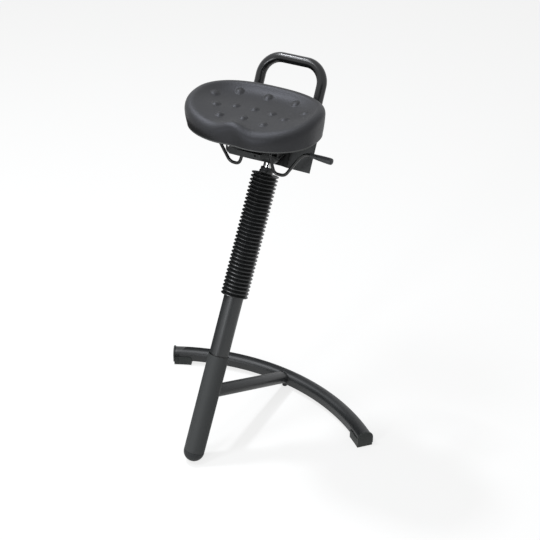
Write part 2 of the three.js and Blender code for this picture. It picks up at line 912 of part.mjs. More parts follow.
const pinEnd = cheekOuter + touchGap + pivotHeadLength;
const pinShank = cross(pivotRadius, -pinEnd, pinEnd, -pivotForward, pivotHeight);
const pinHeads = [-1, 1].map((side) => {
  const near = side * (cheekOuter + touchGap);
  const far = side * pinEnd;
  const [x0, x1] = [Math.min(near, far), Math.max(near, far)];
  return cross(pivotHeadRadius, x0, x1, -pivotForward, pivotHeight);
});
addPiece(head, "pivot_pin", join(pinShank, ...pinHeads), "steel");

const stopPadBottom = housingFloor + touchGap;
const stopPad = block(
  -stopPadHalfWidth,
  stopPadHalfWidth,
  -housingRear - stopPadDepth,
  -housingRear,
  stopPadBottom,
  plateBottom - touchGap,
);
addPiece(head, "tilt_stop", stopPad, "rubber");

// The pommel: the middle of the front edge, set back a little and kept up where the rest falls
function pommel(x) {
  return Math.exp(-((x / pommelHalfWidth) ** 2));
}

// Seat outline, shrunk by an inset, at one of the outline's steps. The pommel's setback is at
// its full depth on the crest and fades out down the side and in towards the dish.
function seatPoint(step, inset, setbackShare) {
  const angle = (step / outlineSteps) * Math.PI * 2;
  const c = Math.cos(angle);
  const s = Math.sin(angle);
  const power = 2 / (s > 0 ? rearRoundness : frontRoundness);
  const depth = (s > 0 ? seatRearDepth : seatFrontDepth) - inset;
  const x = (seatHalfWidth - inset) * Math.sign(c) * Math.abs(c) ** power;
  const setback = s < 0 ? pommelSetback * pommel(x) * Math.abs(s) : 0;
  const y = depth * Math.sign(s) * Math.abs(s) ** power + setback * setbackShare;
  return [x, y - seatCentreForward];
}

const panTop = cushionRise - touchGap;
const panBottom = panTop - panThickness;
const panOutline = Array.from({ length: outlineSteps }, (_, step) => seatPoint(step, panInset, 0));
const pan = raised(panOutline, panBottom, panTop);
addPiece(head, "seat_pan", cut(pan, ...screwRooms(panBottom - cutOverrun, panTop + cutOverrun)), "plastic");

// Cushion: rings from the bottom's middle out, up the side, over the crest and in to the dish
function makeCushion() {
  const positions = [];
  const triangles = [];
  const frontFall = (x, y) => {
    const ahead = Math.min(0, y + seatCentreForward);
    return seatFrontDrop * (ahead / seatFrontDepth) ** 2 * (1 - pommelLift * pommel(x));
  };
  const backward = (y) => {
    const middle = y + seatCentreForward;
    return THREE.MathUtils.smoothstep(middle, -seatFrontDepth / 2, seatRearDepth / 3);
  };
  const addRing = (inset, inward, setbackShare, height) => {
    for (let step = 0; step < outlineSteps; step += 1) {
      const [x, y] = seatPoint(step, inset, setbackShare);
      const middle = -seatCentreForward;
      positions.push(x * inward, middle + (y - middle) * inward, height(x, y));
    }
  };
  const dishShares = [0.9, 0.76, 0.55, 0.3];
  const dishSetbackShares = [0.8, 0.55, 0.25, 0];
  const crest = (x, y) => cushionRise + seatCrest - frontFall(x, y) + seatRearRise * backward(y);
  const sideDrop = seatCrest - seatSideHeight;
  const frontDishPower = 2.2;
  const rearDishPower = 5;
  const dishRise = (share, y) => {
    return share ** THREE.MathUtils.lerp(frontDishPower, rearDishPower, backward(y));
  };
  addRing(seatBottomInset, 1, 0.6, () => cushionRise);
  addRing(seatBottomInset / 4, 1, 0.6, () => cushionRise + seatBottomInset / 2);
  addRing(0, 1, 1, (x, y) => crest(x, y) - sideDrop);
  addRing(seatCrestInset / 4, 1, 1, (x, y) => crest(x, y) - sideDrop / 4);
  addRing(seatCrestInset, 1, 1, crest);
  const low = cushionRise + seatCentreHeight;
  dishShares.forEach((share, i) => {
    const height = (x, y) => low + (crest(x, y) - low) * dishRise(share, y);
    addRing(seatCrestInset, share, dishSetbackShares[i], height);
  });
  const rings = positions.length / 3 / outlineSteps;
  const bottomMiddle = positions.length / 3;
  positions.push(0, -seatCentreForward, cushionRise);
  const topMiddle = bottomMiddle + 1;
  positions.push(0, -seatCentreForward, low);
  for (let step = 0; step < outlineSteps; step += 1) {
    const next = (step + 1) % outlineSteps;
    triangles.push(bottomMiddle, next, step);
    for (let ring = 0; ring < rings - 1; ring += 1) {
      const a = ring * outlineSteps + step;
      const b = ring * outlineSteps + next;
      triangles.push(a, b, b + outlineSteps, a, b + outlineSteps, a + outlineSteps);
    }
    const last = (rings - 1) * outlineSteps;
    triangles.push(last + step, last + next, topMiddle);
  }
  const geometry = new THREE.BufferGeometry();
  geometry.setAttribute("position", new THREE.Float32BufferAttribute(positions, 3));
  geometry.setIndex(triangles);
  geometry.computeVertexNormals();
  return geometry;
}

// Low round studs moulded on the seat, as shares of its half width and its rear or front depth
const studShares = [[0, 0.59], [0, 0.028], [0, -0.415]];
for (const side of [-1, 1]) {
  studShares.push([side * 0.44, 0.546], [side * 0.284, -0.009], [side * 0.338, -0.503]);
  studShares.push([side * 0.7, 0.21], [side * 0.53, -0.168]);
}

function makeStuddedCushion() {
  const cushion = makeCushion();
  const surface = new THREE.Mesh(cushion, new THREE.MeshBasicMaterial());
  const down = new THREE.Vector3(0, 0, -1);
  const up = new THREE.Vector3(0, 0, 1);
  const studs = studShares.map(([across, along]) => {
    const depth = along > 0 ? seatRearDepth : seatFrontDepth;
    const above = cushionRise + seatCrest * 2;
    const from = new THREE.Vector3(across * seatHalfWidth, along * depth - seatCentreForward, above);
    const [hit] = new THREE.Raycaster(from, down).intersectObject(surface);
    const turn = new THREE.Quaternion().setFromUnitVectors(up, hit.face.normal);
    const stud = turned(
      [
        [0, -studHeight],
        [studRadius, -studHeight],
        [studRadius, 0],
        [studRadius * 0.7, studHeight * 0.7],
        [0, studHeight],
      ],
      boltSides,
    );
    return stud.applyQuaternion(turn).translate(hit.point.x, hit.point.y, hit.point.z);
  });
  return join(cushion, ...studs);
}

addPiece(head, "seat_cushion", makeStuddedCushion(), "foam");

// Rear bracket: two wings and a folded web behind the hub, in the handle's leaning frame
function makeBracket() {
  const front = bracketSetback;
  const back = bracketSetback + bracketSheet;
  const webFront = front + bracketWebDepth;
  const fold = bracketSheet * Math.tan(Math.PI / 8);
  const outline = [
    [-bracketHalfWidth, front],
    [-bracketWingInner, front],
    [-bracketWebHalfWidth, webFront],
    [bracketWebHalfWidth, webFront],
    [bracketWingInner, front],
    [bracketHalfWidth, front],
    [bracketHalfWidth, back],
    [bracketWingInner + fold, back],
    [bracketWebHalfWidth + fold, webFront + bracketSheet],
    [-bracketWebHalfWidth - fold, webFront + bracketSheet],
    [-bracketWingInner - fold, back],
    [-bracketHalfWidth, back],
  ];
  const wingTop = plateBottom / Math.cos(handleLean);
  const sheet = raised(outline, -bracketDrop, wingTop + cutOverrun);
  const webRoom = block(
    -bracketFlangeInner,
    bracketFlangeInner,
    front - cutOverrun,
    webFront + bracketSheet + cutOverrun,
    bracketWebTop,
    wingTop + cutOverrun * 2,
  );
  const flangeTop = plateBottom - touchGap;
  const reach = bracketHalfWidth * 2;
  const above = block(-reach, reach, -reach, reach, flangeTop, reach);
  const folded = restate(cut(sheet, webRoom), rear, head);
  const flangeBottom = flangeTop - bracketSheet;
  const flangeBack = Math.tan(handleLean) * flangeBottom + back / Math.cos(handleLean);
  const flange = (x0, x1) =>
    block(x0, x1, flangeBack - bracketFlangeDepth, flangeBack, flangeBottom, flangeTop);
  const left = flange(-bracketHalfWidth, -bracketFlangeInner);
  const right = flange(bracketFlangeInner, bracketHalfWidth);
  const bracket = join(cut(folded, above), left, right);
  return cut(bracket, ...screwRooms(flangeBottom - cutOverrun, flangeTop + cutOverrun));
}

addPiece(head, "rear_bracket", makeBracket(), "powderCoat");

const handleSetback = bracketSetback + bracketSheet + touchGap + handleRadius;
const handleCorners = [
  new THREE.Vector3(-handleLegSpread, handleSetback, -handleLegDrop),
  new THREE.Vector3(-handleLegSpread, handleSetback, handleTop),
  new THREE.Vector3(handleLegSpread, handleSetback, handleTop),
  new THREE.Vector3(handleLegSpread, handleSetback, -handleLegDrop),
];
const handleRoute = bentRoute(handleCorners, handleBend);
addPiece(
  rear,
  "handle",
  tubeAlong(handleRoute, handleRadius, handleSteps, handleSides, handleWall),
  "glossTube",
);

// Seat screws: heads under the plate, or under the bracket's flange at the rear
const screwTop = panTop - touchGap;
const screwNames = ["front_left", "front_right", "rear_left", "rear_right"];
screwPlaces.forEach(([x, y], i) => {
  const isRear = i > 1;
  const seat = plateBottom - (isRear ? touchGap + bracketSheet : 0) - touchGap;
  const screw = turned(
    [
      [0, seat - screwHeadHeight],
      [screwHeadRadius, seat - screwHeadHeight],
      [screwHeadRadius, seat],
      [screwRadius, seat],
      [screwRadius, screwTop],
      [0, screwTop],
    ],
    boltSides,
  );
  addPiece(head, `seat_screw_${screwNames[i]}`, screw.translate(x, y, 0), "steel");
});

export default stool;
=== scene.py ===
import math

import bpy
from mathutils import Matrix, Vector


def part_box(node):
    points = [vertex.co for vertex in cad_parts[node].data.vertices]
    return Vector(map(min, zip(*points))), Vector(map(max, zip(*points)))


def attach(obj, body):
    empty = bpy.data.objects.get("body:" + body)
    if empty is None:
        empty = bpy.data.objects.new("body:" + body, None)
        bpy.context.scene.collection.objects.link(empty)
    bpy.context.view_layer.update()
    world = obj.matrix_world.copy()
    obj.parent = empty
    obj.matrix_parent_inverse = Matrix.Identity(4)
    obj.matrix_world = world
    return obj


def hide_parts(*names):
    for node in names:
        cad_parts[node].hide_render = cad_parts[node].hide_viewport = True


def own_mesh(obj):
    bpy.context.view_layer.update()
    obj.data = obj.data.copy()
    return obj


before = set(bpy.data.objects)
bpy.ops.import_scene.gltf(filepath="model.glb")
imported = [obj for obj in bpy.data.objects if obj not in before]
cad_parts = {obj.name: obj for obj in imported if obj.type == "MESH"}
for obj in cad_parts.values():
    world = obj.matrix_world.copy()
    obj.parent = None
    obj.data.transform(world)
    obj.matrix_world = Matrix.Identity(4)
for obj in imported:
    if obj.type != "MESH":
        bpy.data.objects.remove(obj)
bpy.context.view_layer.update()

# The studio: a pale floor that runs out of view, a small lamp high on the left, softer ones
# above, in front and on the right, and black screens that only reflections see.

bpy.context.scene.view_settings.view_transform = "Standard"
bpy.ops.object.select_all(action="DESELECT")
bpy.ops.mesh.primitive_plane_add(size=40, location=(0, 0, 0))
studio_floor = bpy.context.object
studio_floor.name = "studio_floor"
floor_paint = bpy.data.materials.new("floor_paint")
floor_paint.use_nodes = True
tree = floor_paint.node_tree
tree.nodes.clear()
floor_out = tree.nodes.new("ShaderNodeOutputMaterial")
floor_diffuse = tree.nodes.new("ShaderNodeBsdfDiffuse")
floor_diffuse.inputs["Color"].default_value = (0.32, 0.32, 0.317, 1)
floor_glow = tree.nodes.new("ShaderNodeEmission")
floor_glow.inputs["Color"].default_value = (1, 1, 0.995, 1)
floor_rays = tree.nodes.new("ShaderNodeLightPath")
floor_seen = tree.nodes.new("ShaderNodeMath")
floor_seen.operation = "MAXIMUM"
floor_level = tree.nodes.new("ShaderNodeMath")
floor_level.operation = "MULTIPLY"
floor_level.inputs[1].default_value = 0.77
floor_sum = tree.nodes.new("ShaderNodeAddShader")
tree.links.new(floor_rays.outputs["Is Camera Ray"], floor_seen.inputs[0])
tree.links.new(floor_rays.outputs["Is Glossy Ray"], floor_seen.inputs[1])
tree.links.new(floor_seen.outputs[0], floor_level.inputs[0])
tree.links.new(floor_level.outputs[0], floor_glow.inputs["Strength"])
tree.links.new(floor_diffuse.outputs[0], floor_sum.inputs[0])
tree.links.new(floor_glow.outputs[0], floor_sum.inputs[1])
tree.links.new(floor_sum.outputs[0], floor_out.inputs["Surface"])
studio_floor.data.materials.append(floor_paint)

studio_air = bpy.data.worlds.new("studio_air")
bpy.context.scene.world = studio_air
studio_air.use_nodes = True
tree = studio_air.node_tree
tree.nodes.clear()
air_out = tree.nodes.new("ShaderNodeOutputWorld")
air_light = tree.nodes.new("ShaderNodeBackground")
air_light.inputs["Color"].default_value = (0.97, 0.98, 1, 1)
air_rays = tree.nodes.new("ShaderNodeLightPath")
air_seen = tree.nodes.new("ShaderNodeMath")
air_seen.operation = "MAXIMUM"
air_clear = tree.nodes.new("ShaderNodeMath")
air_clear.operation = "MAXIMUM"
air_level = tree.nodes.new("ShaderNodeMapRange")
air_level.inputs["To Min"].default_value = 0.27
air_level.inputs["To Max"].default_value = 1.0
tree.links.new(air_rays.outputs["Is Camera Ray"], air_seen.inputs[0])
tree.links.new(air_rays.outputs["Is Glossy Ray"], air_seen.inputs[1])
tree.links.new(air_seen.outputs[0], air_clear.inputs[0])
tree.links.new(air_rays.outputs["Is Transmission Ray"], air_clear.inputs[1])
tree.links.new(air_clear.outputs[0], air_level.inputs["Value"])
tree.links.new(air_level.outputs[0], air_light.inputs["Strength"])
tree.links.new(air_light.outputs[0], air_out.inputs["Surface"])

stool_middle = Vector((0.08, 0.25, 0.5))
for lamp_name, towards, distance, width, height, power in [
    ("lamp_overhead", (-0.28, -0.4, 0.87), 3.2, 0.6, 0.6, 24),
    ("lamp_overhead_left", (-0.43, 0.0, 0.9), 3.2, 0.3, 0.3, 42),
    ("lamp_front", (0.02, -0.97, 0.22), 3.2, 0.4, 1.4, 26),
    ("lamp_right", (0.8, -0.56, 0.2), 3.2, 0.15, 0.9, 5),
]:
    lamp_data = bpy.data.lights.new(lamp_name, "AREA")
    lamp_data.shape = "RECTANGLE"
    lamp_data.size = width
    lamp_data.size_y = height
    lamp_data.energy = power
    lamp_data.color = (0.94, 0.96, 1)
    lamp = bpy.data.objects.new(lamp_name, lamp_data)
    bpy.context.scene.collection.objects.link(lamp)
    lamp.visible_camera = False
    lamp.location = stool_middle + Vector(towards).normalized() * distance
    lamp.rotation_euler = (stool_middle - lamp.location).to_track_quat("-Z", "Y").to_euler()

screen_cloth = bpy.data.materials.new("screen_cloth")
screen_cloth.use_nodes = True
shader = screen_cloth.node_tree.nodes["Principled BSDF"]
shader.inputs["Base Color"].default_value = (0.01, 0.01, 0.01, 1)
shader.inputs["Roughness"].default_value = 0.9
for screen_name, place, turn, width, height in [
    ("screen_front", (2.7, -3.6, 1.9), 36.5, 5.4, 3.6),
    ("screen_left", (-0.3, 0.4, 0.4), 90, 1.2, 0.78),
]:
    upright = (math.radians(90), 0, math.radians(turn))
    bpy.ops.mesh.primitive_plane_add(size=1, location=place, rotation=upright)
    screen = bpy.context.object
    screen.name = screen_name
    screen.scale = (width, height, 1)
    screen.visible_camera = False
    screen.visible_diffuse = False
    screen.visible_transmission = False
    screen.visible_shadow = False
    screen.data.materials.append(screen_cloth)

camera_data = bpy.data.cameras.new("camera")
camera_data.sensor_width = 36
camera_data.lens = 87.55
camera_data.shift_y = 0.0032
camera = bpy.data.objects.new("camera", camera_data)
bpy.context.scene.collection.objects.link(camera)
camera.location = (1.725064, -2.007071, 2.180219)
camera_turn = Matrix.Rotation(math.radians(36.5002), 3, "Z")
camera_tip = Matrix.Rotation(math.radians(90 - 31.4424), 3, "X")
camera_roll = Matrix.Rotation(math.radians(0.273), 3, "Z")
camera.rotation_euler = (camera_turn @ camera_tip @ camera_roll).to_euler()
bpy.context.scene.camera = camera

# The column tube and its wider sleeve: round steel tube, welded, then powder coated in a
# dark grey that has a fine satin texture. The sleeve's upper lip is eased.


def open_for_editing(piece):
    bpy.ops.object.select_all(action="DESELECT")
    piece.select_set(True)
    bpy.context.view_layer.objects.active = piece
    bpy.ops.object.mode_set(mode="EDIT")
    bpy.ops.mesh.select_all(action="SELECT")


def turn_on_lathe(name, rings, sides=96, bored=False):
    """A turned piece about Z: its rim is drawn up ring by ring from [radius, height] pairs."""
    radius, height = rings[0]
    bpy.ops.object.select_all(action="DESELECT")
    bpy.ops.mesh.primitive_circle_add(vertices=sides, radius=radius, location=(0, 0, height))
    piece = bpy.context.object
    piece.name = name
    bpy.ops.object.transform_apply(location=True, rotation=True, scale=True)
    open_for_editing(piece)
    for (r0, z0), (r1, z1) in zip(rings, rings[1:]):
        bpy.ops.mesh.extrude_region_move(TRANSFORM_OT_translate={"value": (0, 0, z1 - z0)})
        wider = r1 / r0
        bpy.ops.transform.resize(value=(wider, wider, 1), center_override=(0, 0, 0))
    bpy.ops.mesh.select_all(action="SELECT")
    bpy.ops.mesh.remove_doubles(threshold=1e-6)
    if not bored:
        bpy.ops.mesh.select_all(action="DESELECT")
        bpy.ops.mesh.select_non_manifold()
        bpy.ops.mesh.fill_holes(sides=0)
    bpy.ops.mesh.select_all(action="SELECT")
    bpy.ops.mesh.normals_make_consistent(inside=False)
    bpy.ops.object.mode_set(mode="OBJECT")
    return piece


def smooth_shading(piece, degrees=35):
    bpy.ops.object.select_all(action="DESELECT")
    piece.select_set(True)
    bpy.context.view_layer.objects.active = piece
    bpy.ops.object.shade_smooth_by_angle(angle=math.radians(degrees))


def set_in_place(piece, place, turn):
    """Puts a piece that was made about the origin where it belongs, in its mesh."""
    bpy.ops.object.select_all(action="DESELECT")
    piece.select_set(True)
    bpy.context.view_layer.objects.active = piece
    piece.location = place
    piece.rotation_euler = turn
    bpy.ops.object.transform_apply(location=True, rotation=True, scale=True)


def fasten(piece, body, slot, finish, *nodes):
    piece.data.materials.clear()
    piece.data.materials.append(finish)
    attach(piece, body)
    if nodes:
        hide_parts(*nodes)


def effect_group(name, inputs, outputs):
    """An empty node group with float inputs {name: value} and the outputs {name: socket type}."""
    group = bpy.data.node_groups.new(name, "ShaderNodeTree")
    for socket, value in inputs.items():
        made = group.interface.new_socket(socket, in_out="INPUT", socket_type="NodeSocketFloat")
        made.default_value = value
    for socket, kind in outputs.items():
        group.interface.new_socket(socket, in_out="OUTPUT", socket_type=kind)
    into = group.nodes.new("NodeGroupInput")
    out = group.nodes.new("NodeGroupOutput")
    return group, into, out


# Fine moulded or sprayed texture: a tight grain for the bump, and slow cloudiness for the colour
skin_grain, into, out = effect_group(
    "skin_grain",
    {"Grain Scale": 900.0, "Cloud Scale": 14.0},
    {"Grain": "NodeSocketFloat", "Cloud": "NodeSocketFloat"},
)
grain_place = skin_grain.nodes.new("ShaderNodeTexCoord")
grain_noise = skin_grain.nodes.new("ShaderNodeTexNoise")
grain_noise.inputs["Detail"].default_value = 3.0
grain_cells = skin_grain.nodes.new("ShaderNodeTexVoronoi")
grain_cells.feature = "SMOOTH_F1"
grain_mix = skin_grain.nodes.new("ShaderNodeMath")
grain_mix.operation = "MULTIPLY_ADD"
grain_mix.inputs[1].default_value = 0.6
cloud_noise = skin_grain.nodes.new("ShaderNodeTexNoise")
cloud_noise.inputs["Detail"].default_value = 5.0
skin_grain.links.new(grain_place.outputs["Object"], grain_noise.inputs["Vector"])
skin_grain.links.new(grain_place.outputs["Object"], grain_cells.inputs["Vector"])
skin_grain.links.new(grain_place.outputs["Object"], cloud_noise.inputs["Vector"])
skin_grain.links.new(into.outputs["Grain Scale"], grain_noise.inputs["Scale"])
skin_grain.links.new(into.outputs["Grain Scale"], grain_cells.inputs["Scale"])
skin_grain.links.new(into.outputs["Cloud Scale"], cloud_noise.inputs["Scale"])
skin_grain.links.new(grain_cells.outputs["Distance"], grain_mix.inputs[0])
skin_grain.links.new(grain_noise.outputs["Fac"], grain_mix.inputs[2])
skin_grain.links.new(grain_mix.outputs[0], out.inputs["Grain"])
skin_grain.links.new(cloud_noise.outputs["Fac"], out.inputs["Cloud"])

# Rubbed edges: where the surface turns sharply outwards, broken up by noise
rubbed_edges, into, out = effect_group(
    "rubbed_edges",
    {"Width": 0.04, "Breakup": 90.0},
    {"Mask": "NodeSocketFloat"},
)
edge_shape = rubbed_edges.nodes.new("ShaderNodeNewGeometry")
edge_start = rubbed_edges.nodes.new("ShaderNodeMath")
edge_start.operation = "ADD"
edge_start.inputs[0].default_value = 0.5
edge_range = rubbed_edges.nodes.new("ShaderNodeMapRange")
edge_range.inputs["To Min"].default_value = 0.0
edge_range.inputs["To Max"].default_value = 1.0
edge_range.inputs["From Max"].default_value = 0.62
edge_place = rubbed_edges.nodes.new("ShaderNodeTexCoord")
edge_noise = rubbed_edges.nodes.new("ShaderNodeTexNoise")
edge_noise.inputs["Detail"].default_value = 4.0
edge_mask = rubbed_edges.nodes.new("ShaderNodeMath")
edge_mask.operation = "MULTIPLY"
edge_mask.use_clamp = True
rubbed_edges.links.new(into.outputs["Width"], edge_start.inputs[1])
rubbed_edges.links.new(edge_start.outputs[0], edge_range.inputs["From Min"])
rubbed_edges.links.new(edge_shape.outputs["Pointiness"], edge_range.inputs["Value"])
rubbed_edges.links.new(edge_place.outputs["Object"], edge_noise.inputs["Vector"])
rubbed_edges.links.new(into.outputs["Breakup"], edge_noise.inputs["Scale"])
rubbed_edges.links.new(edge_range.outputs[0], edge_mask.inputs[0])
rubbed_edges.links.new(edge_noise.outputs["Fac"], edge_mask.inputs[1])
rubbed_edges.links.new(edge_mask.outputs[0], out.inputs["Mask"])


def stool_finish(
    name, dark, light, roughness, grain_scale, grain_depth, cloud_scale=14.0, wear=None, gloss=0.3
):
    """A finish of the stool: two close shades clouded together, grain bump, and rubbed edges."""
    finish = bpy.data.materials.new(name)
    finish.use_nodes = True
    tree = finish.node_tree
    shader = tree.nodes["Principled BSDF"]
    skin = tree.nodes.new("ShaderNodeGroup")
    skin.node_tree = skin_grain
    skin.inputs["Grain Scale"].default_value = grain_scale
    skin.inputs["Cloud Scale"].default_value = cloud_scale
    shade = tree.nodes.new("ShaderNodeMix")
    shade.data_type = "RGBA"
    shade.inputs["A"].default_value = (*dark, 1)
    shade.inputs["B"].default_value = (*light, 1)
    tree.links.new(skin.outputs["Cloud"], shade.inputs["Factor"])
    colour = shade.outputs["Result"]
    if wear:
        edges = tree.nodes.new("ShaderNodeGroup")
        edges.node_tree = rubbed_edges
        worn = tree.nodes.new("ShaderNodeMix")
        worn.data_type = "RGBA"
        worn.inputs["B"].default_value = (*wear, 1)
        tree.links.new(edges.outputs["Mask"], worn.inputs["Factor"])
        tree.links.new(colour, worn.inputs["A"])
        colour = worn.outputs["Result"]
    tree.links.new(colour, shader.inputs["Base Color"])
    polish = tree.nodes.new("ShaderNodeMapRange")
    polish.inputs["To Min"].default_value = roughness - 0.05
    polish.inputs["To Max"].default_value = roughness + 0.06
    tree.links.new(skin.outputs["Cloud"], polish.inputs["Value"])
    tree.links.new(polish.outputs[0], shader.inputs["Roughness"])
    bump = tree.nodes.new("ShaderNodeBump")
    bump.inputs["Strength"].default_value = 0.5
    bump.inputs["Distance"].default_value = grain_depth
    tree.links.new(skin.outputs["Grain"], bump.inputs["Height"])
    tree.links.new(bump.outputs[0], shader.inputs["Normal"])
    shader.inputs["Specular IOR Level"].default_value = gloss
    return finish


column_coat = stool_finish(
    "column_coat", (0.019, 0.0205, 0.021), (0.027, 0.0285, 0.029), 0.42, 700, 0.00012,
    wear=(0.075, 0.078, 0.08), gloss=0.45,
)
sleeve_coat = stool_finish(
    "sleeve_coat", (0.06, 0.063, 0.062), (0.069, 0.072, 0.071), 0.62, 700, 0.00013,
    wear=(0.08, 0.083, 0.085),
)

lean = math.radians(24.287)
foot_height = 0.026
column_foot = (0, 0, foot_height)
column_turn = (-lean, 0, 0)
tube_radius = 0.025
sleeve_radius = 0.0268
sleeve_length = 0.2633

# Painted shade: a dark line round the leaning column, between two heights along it, standing in for
# the shadow in the gap above the sleeve's lip
painted_sleeve_shadow, into, out = effect_group(
    "painted_sleeve_shadow", {"Lower": 0.0, "Upper": 0.0}, {"Mask": "NodeSocketFloat"}
)
line_place = painted_sleeve_shadow.nodes.new("ShaderNodeTexCoord")
line_along = painted_sleeve_shadow.nodes.new("ShaderNodeVectorMath")
line_along.operation = "DOT_PRODUCT"
line_along.inputs[1].default_value = (0, math.sin(lean), math.cos(lean))
line_height = painted_sleeve_shadow.nodes.new("ShaderNodeMath")
line_height.operation = "SUBTRACT"
line_height.inputs[1].default_value = foot_height * math.cos(lean)
line_above = painted_sleeve_shadow.nodes.new("ShaderNodeMath")
line_above.operation = "GREATER_THAN"
line_below = painted_sleeve_shadow.nodes.new("ShaderNodeMath")
line_below.operation = "LESS_THAN"
line_mask = painted_sleeve_shadow.nodes.new("ShaderNodeMath")
line_mask.operation = "MULTIPLY"
painted_sleeve_shadow.links.new(line_place.outputs["Object"], line_along.inputs[0])
painted_sleeve_shadow.links.new(line_along.outputs["Value"], line_height.inputs[0])
painted_sleeve_shadow.links.new(line_height.outputs[0], line_above.inputs[0])
painted_sleeve_shadow.links.new(into.outputs["Lower"], line_above.inputs[1])
painted_sleeve_shadow.links.new(line_height.outputs[0], line_below.inputs[0])
painted_sleeve_shadow.links.new(into.outputs["Upper"], line_below.inputs[1])
painted_sleeve_shadow.links.new(line_above.outputs[0], line_mask.inputs[0])
painted_sleeve_shadow.links.new(line_below.outputs[0], line_mask.inputs[1])
painted_sleeve_shadow.links.new(line_mask.outputs[0], out.inputs["Mask"])


def mark_colour(finish, mask, colour):
    """Lays a colour over a finish wherever a mask says so."""
    tree = finish.node_tree
    shader = tree.nodes["Principled BSDF"]
    below = shader.inputs["Base Color"].links[0].from_socket
    over = tree.nodes.new("ShaderNodeMix")
    over.data_type = "RGBA"
    over.inputs["B"].default_value = (*colour, 1)
    tree.links.new(mask, over.inputs["Factor"])
    tree.links.new(below, over.inputs["A"])
    tree.links.new(over.outputs["Result"], shader.inputs["Base Color"])


def paint_shadow_line(finish, lower, upper, colour):
    line = finish.node_tree.nodes.new("ShaderNodeGroup")
    line.node_tree = painted_sleeve_shadow
    line.inputs["Lower"].default_value = lower
    line.inputs["Upper"].default_value = upper
    mark_colour(finish, line.outputs["Mask"], colour)


tube_coat = stool_finish(
    "tube_coat", (0.032, 0.034, 0.034), (0.042, 0.044, 0.044), 0.4, 700, 0.00012,
    wear=(0.075, 0.078, 0.08), gloss=0.5,
)
# Painted shadow: a near black band on the tube just above the sleeve's top, where the gap at the
# sleeve's lip falls in shade
paint_shadow_line(tube_coat, sleeve_length - 0.0003, sleeve_length + 0.0033, (0.002, 0.002, 0.002))
column_tube = turn_on_lathe(
    "column_tube_fine",
    [(0.0248, 0.0003), (tube_radius, 0.0008), (tube_radius, 0.4386), (0.0242, 0.4394),
     (0.0238, 0.4394), (0.023, 0.4386), (0.023, 0.0003), (0.0248, 0.0003)],
    bored=True,
)
smooth_shading(column_tube)
set_in_place(column_tube, column_foot, column_turn)
fasten(column_tube, "base", "column_coat", tube_coat, "column_tube")

column_sleeve = turn_on_lathe(
    "column_sleeve_fine",
    [(0.0262, 0.0003), (sleeve_radius, 0.001), (sleeve_radius, 0.2622), (0.0266, 0.263),
     (0.026, sleeve_length), (0.0255, sleeve_length), (0.0254, 0.0003), (0.0262, 0.0003)],
    bored=True,
)
smooth_shading(column_sleeve)
set_in_place(column_sleeve, column_foot, column_turn)
fasten(column_sleeve, "base", "sleeve_coat", sleeve_coat, "column_sleeve")

# The foot cap: a soft rubber dome on a plug, pushed into the column's lower end. Its flat on
# the floor comes from the leaning dome being cut level.

foot_rubber = stool_finish(
    "foot_rubber", (0.034, 0.036, 0.037), (0.043, 0.046, 0.047), 0.6, 1100, 0.00015,
    wear=(0.06, 0.062, 0.062),
)
dome_steps = 21
dome_rings = [(0.0005, -sleeve_radius)]
for step in range(1, dome_steps):
    around = math.radians(step / dome_steps * 90)
    dome_rings.append((sleeve_radius * math.sin(around), -sleeve_radius * math.cos(around)))
dome_rings.append((sleeve_radius, -0.0008))
foot_cap = turn_on_lathe(
    "foot_cap_fine",
    dome_rings + [(0.0265, -0.0002), (0.0258, 0), (0.0227, 0), (0.0227, 0.0215), (0.0222, 0.022)],
)
set_in_place(foot_cap, column_foot, column_turn)
open_for_editing(foot_cap)
bpy.ops.mesh.bisect(plane_co=(0, 0, 0.0001), plane_no=(0, 0, -1), use_fill=True, clear_outer=True)
bpy.ops.object.mode_set(mode="OBJECT")
smooth_shading(foot_cap, 30)
fasten(foot_cap, "base", "foot_rubber", foot_rubber, "foot_cap")

# The floor arc: one arched steel tube with a flat underside, rolled to a bow. Its section is
# shaped once and spun about the bow's centre, then given its wall.

arc_radius = 0.5709
arc_middle = 0.4074
arc_half_width = 0.01885
arc_shoulder = 0.030
arc_section_sides = 64
arc_centre = Vector((0, arc_middle - arc_radius, 0))
arc_end = math.radians(34.8) - 0.0053 / arc_radius
bpy.ops.object.select_all(action="DESELECT")
bpy.ops.mesh.primitive_circle_add(vertices=arc_section_sides, radius=1, location=(0, 0, 0))
base_arc = bpy.context.object
base_arc.name = "base_arc_fine"
for i, corner in enumerate(base_arc.data.vertices):
    turn = i / arc_section_sides * 2 * math.pi
    across, up = -math.sin(turn), math.cos(turn)
    if up >= 0:
        side, height = arc_half_width * across, arc_shoulder + 0.0126 * up
    else:
        reach = max(abs(across), abs(up))
        side = arc_half_width * across / reach
        height = arc_shoulder - 0.0177 * min(1, abs(up) / reach)
    corner.co = (0, arc_radius + side, height)
bpy.ops.object.transform_apply(location=True, rotation=True, scale=True)
base_arc.data.transform(Matrix.Translation(arc_centre) @ Matrix.Rotation(arc_end, 4, "Z"))
open_for_editing(base_arc)
bpy.ops.mesh.spin(steps=110, angle=2 * arc_end, center=arc_centre, axis=(0, 0, 1))
bpy.ops.mesh.select_all(action="SELECT")
bpy.ops.mesh.remove_doubles(threshold=1e-6)
bpy.ops.mesh.normals_make_consistent(inside=False)
bpy.ops.object.mode_set(mode="OBJECT")
arc_wall = base_arc.modifiers.new("wall", "SOLIDIFY")
arc_wall.thickness = 0.0025
arc_wall.offset = -1
arc_edge = base_arc.modifiers.new("edge", "BEVEL")
arc_edge.width = 0.0012
arc_edge.segments = 3
arc_edge.limit_method = "ANGLE"
arc_edge.angle_limit = math.radians(50)
bpy.ops.object.modifier_apply(modifier="wall")
bpy.ops.object.modifier_apply(modifier="edge")
smooth_shading(base_arc, 30)
fasten(base_arc, "base", "column_coat", column_coat, "base_arc")

# The end shoes: moulded plastic, each a shallow trough under the tube with an end plate that
# follows the tube's arch. They and the other folded or moulded pieces start from the solids.


